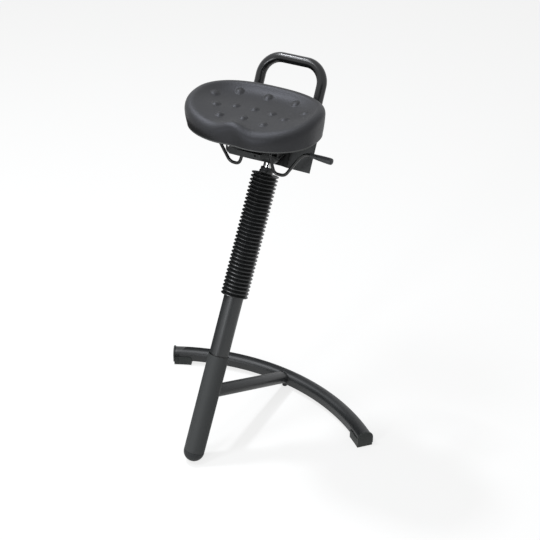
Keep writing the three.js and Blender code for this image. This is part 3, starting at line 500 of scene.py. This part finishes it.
def ease_edges(node, name, width, smooth=30, segments=2):
    """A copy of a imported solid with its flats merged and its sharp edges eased."""
    piece = bpy.data.objects.new(name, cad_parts[node].data.copy())
    bpy.context.scene.collection.objects.link(piece)
    open_for_editing(piece)
    bpy.ops.mesh.remove_doubles(threshold=2e-6)
    bpy.ops.mesh.dissolve_limited(angle_limit=math.radians(0.6))
    bpy.ops.object.mode_set(mode="OBJECT")
    easing = piece.modifiers.new("easing", "BEVEL")
    easing.width = width
    easing.segments = segments
    easing.limit_method = "ANGLE"
    easing.angle_limit = math.radians(40)
    bpy.ops.object.modifier_apply(modifier="easing")
    smooth_shading(piece, smooth)
    return piece


glide_plastic = stool_finish(
    "glide_plastic", (0.033, 0.037, 0.035), (0.044, 0.048, 0.046), 0.55, 1300, 0.00012,
    wear=(0.09, 0.094, 0.092),
)
for glide_name in ("glide_left", "glide_right"):
    glide = ease_edges(glide_name, glide_name + "_fine", 0.0009)
    fasten(glide, "base", "glide_plastic", glide_plastic, glide_name)

centre_stop = turn_on_lathe(
    "centre_stop_fine",
    [(0.0062, 0.0025), (0.0068, 0.0029), (0.007, 0.0036), (0.007, 0.0115), (0.0066, 0.012)],
    sides=48,
)
smooth_shading(centre_stop)
set_in_place(centre_stop, (0, 0.396, 0), (0, 0, 0))
fasten(centre_stop, "base", "foot_rubber", foot_rubber, "centre_stop")

# The link tube: round steel tube, coped to the sleeve and butted to the arc, with a small
# bead of weld at both ends under the same coat.

link_tube = ease_edges("link_tube", "link_tube_fine", 0.0003, smooth=40)
fasten(link_tube, "base", "column_coat", column_coat, "link_tube")

link_top = 0.1742
bead_radius = 0.0172
link_start = Vector((0, (link_top - foot_height) * math.tan(lean), link_top))
link_end = Vector((0, arc_middle, 0.0258))
link_slope = math.atan2(link_start.z - link_end.z, link_end.y - link_start.y)
for bead_name, at_sleeve in [("weld_bead_sleeve", True), ("weld_bead_arc", False)]:
    bpy.ops.object.select_all(action="DESELECT")
    bpy.ops.mesh.primitive_torus_add(
        major_segments=96, minor_segments=12, major_radius=bead_radius, minor_radius=0.0017,
        location=(0, 0, 0),
    )
    bead = bpy.context.object
    bead.name = bead_name
    for corner in bead.data.vertices:
        angle = math.atan2(corner.co.y, corner.co.x)
        ripple = 1 + 0.12 * math.sin(38 * angle)
        if at_sleeve:
            side = bead_radius * math.cos(angle)
            corner.co.z = corner.co.z * ripple + math.sqrt(sleeve_radius**2 - side**2) + 0.0004
        else:
            down = bead_radius * math.sin(angle)
            arc_face = arc_middle - arc_half_width - 0.0006 - link_start.y
            away = (arc_face + down * math.sin(link_slope)) / math.cos(link_slope)
            corner.co.z = corner.co.z * ripple + away
    smooth_shading(bead, 180)
    set_in_place(bead, link_start, (-math.pi / 2 - link_slope, 0, 0))
    fasten(bead, "base", "column_coat", column_coat)

# The gas spring: a chromed cylinder that slides on the rod inside the column, with a plastic
# bush in the column's mouth and a collar that holds the bellows' neck.

lift_chrome = bpy.data.materials.new("lift_chrome")
lift_chrome.use_nodes = True
tree = lift_chrome.node_tree
shader = tree.nodes["Principled BSDF"]
shader.inputs["Metallic"].default_value = 1.0
chrome_skin = tree.nodes.new("ShaderNodeGroup")
chrome_skin.node_tree = skin_grain
chrome_skin.inputs["Grain Scale"].default_value = 260
chrome_skin.inputs["Cloud Scale"].default_value = 30
chrome_tint = tree.nodes.new("ShaderNodeMix")
chrome_tint.data_type = "RGBA"
chrome_tint.inputs["A"].default_value = (0.5, 0.5, 0.49, 1)
chrome_tint.inputs["B"].default_value = (0.64, 0.64, 0.63, 1)
chrome_polish = tree.nodes.new("ShaderNodeMapRange")
chrome_polish.inputs["To Min"].default_value = 0.06
chrome_polish.inputs["To Max"].default_value = 0.16
tree.links.new(chrome_skin.outputs["Cloud"], chrome_tint.inputs["Factor"])
tree.links.new(chrome_tint.outputs["Result"], shader.inputs["Base Color"])
tree.links.new(chrome_skin.outputs["Cloud"], chrome_polish.inputs["Value"])
tree.links.new(chrome_polish.outputs[0], shader.inputs["Roughness"])
black_plastic = stool_finish(
    "black_plastic", (0.014, 0.015, 0.015), (0.021, 0.022, 0.022), 0.5, 1300, 0.0001,
    wear=(0.04, 0.042, 0.042),
)
lift_cylinder = turn_on_lathe(
    "lift_cylinder_fine",
    [(0.0054, 0.3694), (0.0105, 0.3694), (0.011, 0.37), (0.011, 0.8221), (0.0104, 0.8227),
     (0.0036, 0.8227), (0.0034, 0.822), (0.0034, 0.63), (0.009, 0.63), (0.009, 0.3714),
     (0.0054, 0.3714), (0.0054, 0.3694)],
    sides=64,
    bored=True,
)
smooth_shading(lift_cylinder)
set_in_place(lift_cylinder, column_foot, column_turn)
fasten(lift_cylinder, "lift", "lift_chrome", lift_chrome, "lift_cylinder")

bellows_collar = turn_on_lathe(
    "bellows_collar_fine",
    [(0.0115, 0.7332), (0.0155, 0.7332), (0.0155, 0.7546), (0.0149, 0.7554), (0.0141, 0.7557),
     (0.0125, 0.7557), (0.0115, 0.7549), (0.0115, 0.7332)],
    sides=64,
    bored=True,
)
smooth_shading(bellows_collar)
set_in_place(bellows_collar, column_foot, column_turn)
fasten(bellows_collar, "lift", "black_plastic", black_plastic, "bellows_collar")

bare_steel = stool_finish(
    "bare_steel", (0.3, 0.3, 0.29), (0.42, 0.42, 0.41), 0.34, 420, 0.00005, cloud_scale=40
)
bare_steel.node_tree.nodes["Principled BSDF"].inputs["Metallic"].default_value = 0.9
for node, finish in [
    ("guide_bush", black_plastic),
    ("piston_rod", bare_steel),
    ("retaining_clip", bare_steel),
    ("column_base_disc", bare_steel),
    ("thrust_bearing", bare_steel),
    ("valve_pin", bare_steel),
]:
    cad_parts[node].data.materials.clear()
    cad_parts[node].data.materials.append(finish)

# The bellows: a ribbed rubber gaiter, blow moulded, with sharp ribs round a plain bore. It grips
# the column below and the collar above.

bellows_rubber = stool_finish(
    "bellows_rubber", (0.017, 0.018, 0.018), (0.024, 0.025, 0.025), 0.3, 900, 0.00006,
    wear=(0.03, 0.032, 0.033), gloss=0.5,
)
gaiter_start = 0.4234
gaiter_length = 0.3148
gaiter_bore = 0.0262
lowest_tip = gaiter_start + 0.0008
rib_gaps = 32
rib_pitch = (gaiter_length - 0.0016) / rib_gaps
rib_flank = [
    (0.0278, 0.5), (0.0287, 0.42), (0.0311, 0.3), (0.0332, 0.19), (0.034, 0.12), (0.0346, 0.045)
]
gaiter_rings = [
    (gaiter_bore, gaiter_start), (0.0339, gaiter_start), (0.0346, gaiter_start + 0.0004)
]
for rib in range(rib_gaps + 1):
    tip = lowest_tip + rib * rib_pitch
    if rib > 0:
        gaiter_rings += [(radius, tip - share * rib_pitch) for radius, share in rib_flank[1:]]
    gaiter_rings.append((0.0348, tip))
    if rib < rib_gaps:
        gaiter_rings += [(radius, tip + share * rib_pitch) for radius, share in rib_flank[::-1]]
gaiter_rings += [
    (0.0346, 0.7378), (0.0339, 0.7382), (gaiter_bore, 0.7394), (0.0188, 0.7408), (0.0176, 0.7413),
    (0.0173, 0.742), (0.0173, 0.7462), (0.0171, 0.747), (0.0166, 0.7472), (0.0161, 0.7468),
    (0.0161, 0.7337), (gaiter_bore, 0.724), (gaiter_bore, gaiter_start),
]
bellows = turn_on_lathe("bellows_fine", gaiter_rings, sides=80, bored=True)
smooth_shading(bellows, 50)
set_in_place(bellows, column_foot, column_turn)
fasten(bellows, "base", "bellows_rubber", bellows_rubber, "bellows")
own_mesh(bellows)

# The hub, the pressed tray with its front lip, and the mechanism's housing on it: welded
# steel with a near black coat, which carries the seat's tilting pivot.

bracket_coat = stool_finish(
    "bracket_coat", (0.038, 0.04, 0.039), (0.048, 0.05, 0.049), 0.48, 800, 0.0001,
    wear=(0.08, 0.083, 0.083),
)
plate_coat = stool_finish(
    "plate_coat", (0.014, 0.015, 0.015), (0.021, 0.022, 0.022), 0.45, 600, 0.00008,
    cloud_scale=30, wear=(0.07, 0.07, 0.07),
)
for node, width, finish, slot, body in [
    ("carrier_tray", 0.0007, bracket_coat, "bracket_coat", "lift"),
    ("mechanism_housing", 0.0006, plate_coat, "bare_steel", "lift"),
    ("tilt_stop", 0.001, foot_rubber, "foot_rubber", "lift"),
    ("height_lever_bearing", 0.0007, black_plastic, "black_plastic", "lift"),
    ("tilt_lever_bearing", 0.0007, black_plastic, "black_plastic", "lift"),
    ("valve_paddle", 0.0005, bare_steel, "bare_steel", "height_control"),
    ("tilt_latch", 0.0005, bare_steel, "bare_steel", "tilt_control"),
    ("seat_plate", 0.0006, plate_coat, "bare_steel", "seat"),
    ("pivot_pin", 0.0005, bare_steel, "bare_steel", "seat"),
    ("seat_pan", 0.0009, black_plastic, "black_plastic", "seat"),
    ("rear_bracket", 0.0006, bracket_coat, "bracket_coat", "seat"),
]:
    pressed = ease_edges(node, node + "_fine", width)
    fasten(pressed, body, slot, finish, node)

head_height = 0.7992
tray_floor = head_height - 0.0303
taper_hub = turn_on_lathe(
    "taper_hub_fine",
    [(0.0113, 0.7682), (0.0118, 0.7677), (0.0145, 0.7677), (0.015, 0.7681), (0.0158, 0.7692),
     (0.0185, 0.772), (0.022, 0.7755), (0.0241, 0.7784), (0.0249, 0.781), (0.025, 0.784),
     (0.025, 0.86), (0.0113, 0.86), (0.0113, 0.7682)],
    bored=True,
)
set_in_place(taper_hub, column_foot, column_turn)
open_for_editing(taper_hub)
bpy.ops.mesh.bisect(plane_co=(0, 0, tray_floor), plane_no=(0, 0, 1), clear_outer=True)
bpy.ops.mesh.select_all(action="DESELECT")
bpy.ops.mesh.select_non_manifold()
bpy.ops.mesh.bridge_edge_loops()
bpy.ops.mesh.select_all(action="SELECT")
bpy.ops.mesh.normals_make_consistent(inside=False)
bpy.ops.object.mode_set(mode="OBJECT")
smooth_shading(taper_hub, 40)
fasten(taper_hub, "lift", "bracket_coat", bracket_coat, "taper_hub")

# The levers: round wire in gloss black, bent to a dip that clears the tray, each turning in
# its bearing. Their grips are tapered satin plastic with a ring line near the root.

head_along = 0.8483
head_place = Vector((0, head_along * math.sin(lean), foot_height + head_along * math.cos(lean)))
head_turn = (0, 0, math.radians(7.7))
gloss_black = stool_finish(
    "gloss_black", (0.005, 0.0054, 0.0056), (0.008, 0.0085, 0.0088), 0.24, 420, 0.000006,
    cloud_scale=22, wear=(0.012, 0.013, 0.013), gloss=0.5,
)


def bend_tube(name, corners, radius, reach, sides, hollow=0.0):
    """Round bar or tube bent at each corner: extruded along the straights, spun round the bends."""
    corners = [Vector(corner) for corner in corners]
    heading = (corners[1] - corners[0]).normalized()
    facing = heading.to_track_quat("Z", "Y").to_euler()
    bpy.ops.object.select_all(action="DESELECT")
    bpy.ops.mesh.primitive_circle_add(
        vertices=sides, radius=radius, location=corners[0], rotation=facing
    )
    piece = bpy.context.object
    piece.name = name
    bpy.ops.object.transform_apply(location=True, rotation=True, scale=True)
    open_for_editing(piece)
    here = corners[0]
    for i in range(1, len(corners) - 1):
        heading = (corners[i] - here).normalized()
        onward = (corners[i + 1] - corners[i]).normalized()
        before = (corners[i] - corners[i - 1]).length / 2
        after = (corners[i + 1] - corners[i]).length / 2
        run = min(reach, before, after)
        angle = heading.angle(onward)
        start = corners[i] - heading * run
        if (start - here).length > 1e-6:
            bpy.ops.mesh.extrude_region_move(TRANSFORM_OT_translate={"value": start - here})
        inward = (onward - heading * math.cos(angle)).normalized()
        bpy.ops.mesh.spin(
            steps=max(6, round(angle / math.radians(5))),
            angle=angle,
            center=start + inward * (run / math.tan(angle / 2)),
            axis=-heading.cross(onward).normalized(),
        )
        here = corners[i] + onward * run
    bpy.ops.mesh.extrude_region_move(TRANSFORM_OT_translate={"value": corners[-1] - here})
    bpy.ops.mesh.select_all(action="SELECT")
    bpy.ops.mesh.remove_doubles(threshold=1e-6)
    bpy.ops.mesh.select_all(action="DESELECT")
    bpy.ops.mesh.select_non_manifold()
    bpy.ops.mesh.fill_holes(sides=0)
    bpy.ops.mesh.select_all(action="SELECT")
    bpy.ops.mesh.normals_make_consistent(inside=False)
    if hollow:
        bpy.ops.object.mode_set(mode="OBJECT")
        ends = [face for face in piece.data.polygons if len(face.vertices) > 4]
        for part in (piece.data.vertices, piece.data.edges, piece.data.polygons):
            part.foreach_set("select", [False] * len(part))
        for end in ends:
            end.select = True
        bpy.ops.object.mode_set(mode="EDIT")
        bpy.ops.mesh.select_mode(type="FACE")
        bpy.ops.mesh.inset(thickness=hollow, use_individual=True)
        away = (corners[0] - corners[1]).normalized()
        bpy.ops.mesh.extrude_region_move(TRANSFORM_OT_translate={"value": -away * 0.02})
        bpy.ops.mesh.select_mode(type="VERT")
    bpy.ops.object.mode_set(mode="OBJECT")
    smooth_shading(piece, 40)
    return piece


grip_plastic = stool_finish(
    "grip_plastic", (0.055, 0.058, 0.06), (0.075, 0.078, 0.08), 0.42, 1200, 0.00009,
    wear=(0.12, 0.124, 0.126),
)
wire_radius = 0.00395
wire_front = -0.1
grip_root = 0.0052
for side, name, body, elbow, slope, grip_start, grip_length, grip_end, dip in [
    (1, "height", "height_control", (0.1319, 0.012), -3.3, 0.013, 0.058, 0.008,
     [(0.036, -0.008), (0.043, -0.04284), (0.04904, -0.06), (0.07695, -0.06), (0.11234, -0.008)]),
    (-1, "tilt", "tilt_control", (0.112, 0.005), 25, 0.01, 0.028, 0.006,
     [(0.036, -0.008), (0.04299, -0.04284), (0.04998, -0.05792), (0.074, -0.05792)]),
]:
    arm = Vector((side * math.cos(math.radians(slope)), 0, math.sin(math.radians(slope))))
    bend = Vector((side * elbow[0], wire_front, elbow[1]))
    wire_corners = [(side * 0.036, -0.004, -0.008)] + [(side * x, wire_front, z) for x, z in dip]
    wire_corners += [bend, bend + arm * (grip_start + grip_length / 2)]
    lever = bend_tube(name + "_lever_fine", wire_corners, wire_radius, 0.011, 24)
    set_in_place(lever, head_place, head_turn)
    fasten(lever, body, "gloss_tube", gloss_black, name + "_lever")
    waist = grip_length * 0.31
    swell = grip_end - grip_root
    taper = [
        (0.12, waist * 0.4), (0.42, waist * 0.94), (0.44, waist), (0.24, waist + 0.0003),
        (0.24, waist + 0.0009), (0.5, waist + 0.0013), (0.72, grip_length * 0.5),
        (0.93, grip_length * 0.72),
    ]
    tip = [(1, 1), (0.99, 0.6), (0.93, 0.32), (0.8, 0.12), (0.62, 0.03)]
    grip = turn_on_lathe(
        name + "_grip_fine",
        [(0.0043, 0.0004), (0.0046, 0), (0.0049, 0), (grip_root, 0.0006)]
        + [(grip_root + swell * share, along) for share, along in taper]
        + [(grip_end * share, grip_length - grip_end * back) for share, back in tip]
        + [(grip_end * 0.4, grip_length), (0.0003, grip_length)],
        sides=64,
    )
    smooth_shading(grip, 50)
    set_in_place(grip, bend + arm * grip_start, (0, side * math.radians(90 - slope), 0))
    set_in_place(grip, head_place, head_turn)
    fasten(grip, body, "grip_plastic", grip_plastic, name + "_grip")

# The handle: 25 mm round steel tube bent to a loop, gloss black, fixed to the bracket's
# wings behind the seat. Its legs are open below.

rear_turn = (math.radians(-28), 0, math.radians(7.7))
handle_back = 0.0118
leg_spread = 0.0835
leg_foot = -0.06
handle_top = 0.1775
handle_corners = [
    (-leg_spread, handle_back, leg_foot), (-leg_spread, handle_back, handle_top),
    (leg_spread, handle_back, handle_top), (leg_spread, handle_back, leg_foot),
]
handle = bend_tube("handle_fine", handle_corners, 0.0125, 0.05, 48, hollow=0.002)
set_in_place(handle, head_place, rear_turn)
fasten(handle, "seat", "gloss_tube", gloss_black, "handle")

# The seat: moulded foam with a tough grained skin, dished, with a raised pommel in front, a
# rolled rim and low round studs. A thin lip runs round its lower edge, over the plastic pan.

seat_skin = stool_finish(
    "seat_skin", (0.022, 0.022, 0.022), (0.028, 0.028, 0.027), 0.46, 330, 0.0009,
    cloud_scale=9, gloss=0.36,
)
seat_shader = seat_skin.node_tree.nodes["Principled BSDF"]
seat_shader.inputs["Specular Tint"].default_value = (0.86, 0.88, 1, 1)
seat_lift = 0.052
# Painted highlight: a lighter band round the seat's lower lip, standing in for the floor's light
# caught on its lower rounding
lip_place = seat_skin.node_tree.nodes.new("ShaderNodeTexCoord")
lip_axes = seat_skin.node_tree.nodes.new("ShaderNodeSeparateXYZ")
lip_highlight_band = seat_skin.node_tree.nodes.new("ShaderNodeMath")
lip_highlight_band.operation = "COMPARE"
lip_highlight_band.inputs[1].default_value = head_height + seat_lift + 0.0027
lip_highlight_band.inputs[2].default_value = 0.0014
seat_skin.node_tree.links.new(lip_place.outputs["Object"], lip_axes.inputs[0])
seat_skin.node_tree.links.new(lip_axes.outputs["Z"], lip_highlight_band.inputs[0])
mark_colour(seat_skin, lip_highlight_band.outputs[0], (0.13, 0.132, 0.125))

outline_sides = 112
seat_half_width = 0.171
seat_rear = 0.1148
seat_front = 0.1213
rim_height = 0.063
dish_height = 0.048


def pommel(x):
    """1 at the middle of the seat's front, fading out to the sides."""
    return math.exp(-((x / 0.034) ** 2))


def seat_edge(step, inset, setback_share):
    """A point of the seat's outline, shrunk by an inset, about the seat's middle."""
    angle = step / outline_sides * 2 * math.pi
    c, s = math.cos(angle), math.sin(angle)
    power = 2 / (2.5 if s > 0 else 2.3)
    depth = (seat_rear if s > 0 else seat_front) - inset
    x = (seat_half_width - inset) * math.copysign(abs(c) ** power, c)
    setback = 0.01 * pommel(x) * abs(s) if s < 0 else 0
    return x, depth * math.copysign(abs(s) ** power, s) + setback * setback_share


def backward(y):
    """0 over the front of the seat, 1 over its rear."""
    share = min(1, max(0, (y + seat_front / 2) / (seat_front / 2 + seat_rear / 3)))
    return share * share * (3 - 2 * share)


def front_fall(y):
    """How far the rim has sunk at this depth of the seat's front."""
    return 0.029 * (min(0, y) / seat_front) ** 2


def crest(x, y, lift=1):
    """Height of the rim: it falls to the front, less at the pommel, and rises to the rear."""
    return rim_height - front_fall(y) * (1 - 0.61 * lift * pommel(x)) + 0.0055 * backward(y)



def dish(x, y, share):
    """Height of the dish, where share is 1 at the rim and 0 in the middle."""
    depth = crest(x, y, share**5) - dish_height
    return dish_height + depth * share ** (2.2 + 2.8 * backward(y))


# Rings from the underside up: inset, share of the way out, share of the pommel's set-back, height
seat_rings = [
    (0.0135, 1, 0.6, lambda x, y: 0.0),
    (0.0078, 1, 0.6, lambda x, y: 0.0),
    (0.0058, 1, 0.6, lambda x, y: 0.0004),
    (0.0048, 1, 0.6, lambda x, y: 0.0018),
    (0.0058, 1, 0.6, lambda x, y: 0.0034),
    (0.0046, 1, 0.62, lambda x, y: 0.0062),
    (0.0018, 1, 0.76, lambda x, y: 0.0062 + (crest(x, y) - 0.0182) * 0.4),
    (0.0002, 1, 0.92, lambda x, y: crest(x, y) - 0.021),
    (0.0, 1, 1, lambda x, y: crest(x, y) - 0.0125),
    (0.0022, 1, 1, lambda x, y: crest(x, y) - 0.0052),
    (0.0075, 1, 1, lambda x, y: crest(x, y) - 0.0012),
    (0.014, 1, 1, lambda x, y: crest(x, y) + 0.0002),
    (0.02, 1, 1, crest),
]
dish_rings = 14
for ring in range(1, dish_rings + 1):
    share = 1 - ring / (dish_rings + 1)
    setback_share = share**2 * (3 - 2 * share)
    seat_rings.append((0.02, share, setback_share, lambda x, y, share=share: dish(x, y, share)))

bpy.ops.object.select_all(action="DESELECT")
bpy.ops.mesh.primitive_circle_add(vertices=outline_sides, radius=0.1, location=(0, 0, 0))
seat = bpy.context.object
seat.name = "seat_cushion_moulded"
open_for_editing(seat)
for ring in range(len(seat_rings) - 1):
    bpy.ops.mesh.extrude_region_move(TRANSFORM_OT_translate={"value": (0, 0, 0.01)})
bpy.ops.mesh.extrude_region_move(TRANSFORM_OT_translate={"value": (0, 0, 0.01)})
bpy.ops.mesh.merge(type="CENTER")
bpy.ops.mesh.select_all(action="DESELECT")
bpy.ops.mesh.select_non_manifold()
bpy.ops.mesh.extrude_region_move(TRANSFORM_OT_translate={"value": (0, 0, -0.01)})
bpy.ops.mesh.merge(type="CENTER")
bpy.ops.object.mode_set(mode="OBJECT")
for corner in seat.data.vertices:
    ring = round(corner.co.z / 0.01)
    if ring < 0:
        corner.co = (0, 0, 0)
    elif ring >= len(seat_rings):
        corner.co = (0, 0, dish_height)
    else:
        inset, inward, setback_share, height = seat_rings[ring]
        angle = math.atan2(corner.co.y, corner.co.x)
        step = round(angle / (2 * math.pi) * outline_sides) % outline_sides
        x, y = seat_edge(step, inset, setback_share)
        corner.co = (x * inward, y * inward, height(x, y))
open_for_editing(seat)
bpy.ops.mesh.normals_make_consistent(inside=False)
bpy.ops.object.mode_set(mode="OBJECT")
swelling = seat.modifiers.new("swelling", "SUBSURF")
swelling.levels = swelling.render_levels = 2
bpy.ops.object.modifier_apply(modifier="swelling")

stud_radius = 0.0112
stud_height = 0.0044
stud_places = [(0, 0.59), (0, 0.028), (0, -0.415)]
for side in (-1, 1):
    stud_places += [(side * 0.44, 0.546), (side * 0.284, -0.009), (side * 0.338, -0.503)]
    stud_places += [(side * 0.7, 0.21), (side * 0.53, -0.168)]
for across, along in stud_places:
    middle = Vector((across * seat_half_width, along * (seat_rear if along > 0 else seat_front)))
    for corner in seat.data.vertices:
        away = (corner.co.xy - middle).length / stud_radius
        if away < 1 and corner.co.z > 0.03:
            corner.co.z += stud_height * (1 - away**2.4) ** 1.2
smooth_shading(seat, 60)
seat_centre = (0, -0.1113, seat_lift)
set_in_place(seat, seat_centre, (0, 0, 0))
set_in_place(seat, head_place, head_turn)
fasten(seat, "seat", "seat_foam", seat_skin, "seat_cushion")

# The seat screws: zinc-plated button heads with a hexagon socket, drawn as a round recess, up
# through the plate.

for place in ("front_left", "front_right", "rear_left", "rear_right"):
    node = "seat_screw_" + place
    low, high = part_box(node)
    length = high.z - low.z
    head = turn_on_lathe(
        node + "_fine",
        [(0.0024, 0.0016), (0.0026, 0.0), (0.0038, 0.0002), (0.0052, 0.0011), (0.006, 0.0026),
         (0.006, 0.004), (0.003, 0.004), (0.003, length - 0.0004), (0.0027, length)],
        sides=48,
    )
    smooth_shading(head, 30)
    set_in_place(head, ((low.x + high.x) / 2, (low.y + high.y) / 2, low.z), (0, 0, 0))
    fasten(head, "seat", "bare_steel", bare_steel, node)
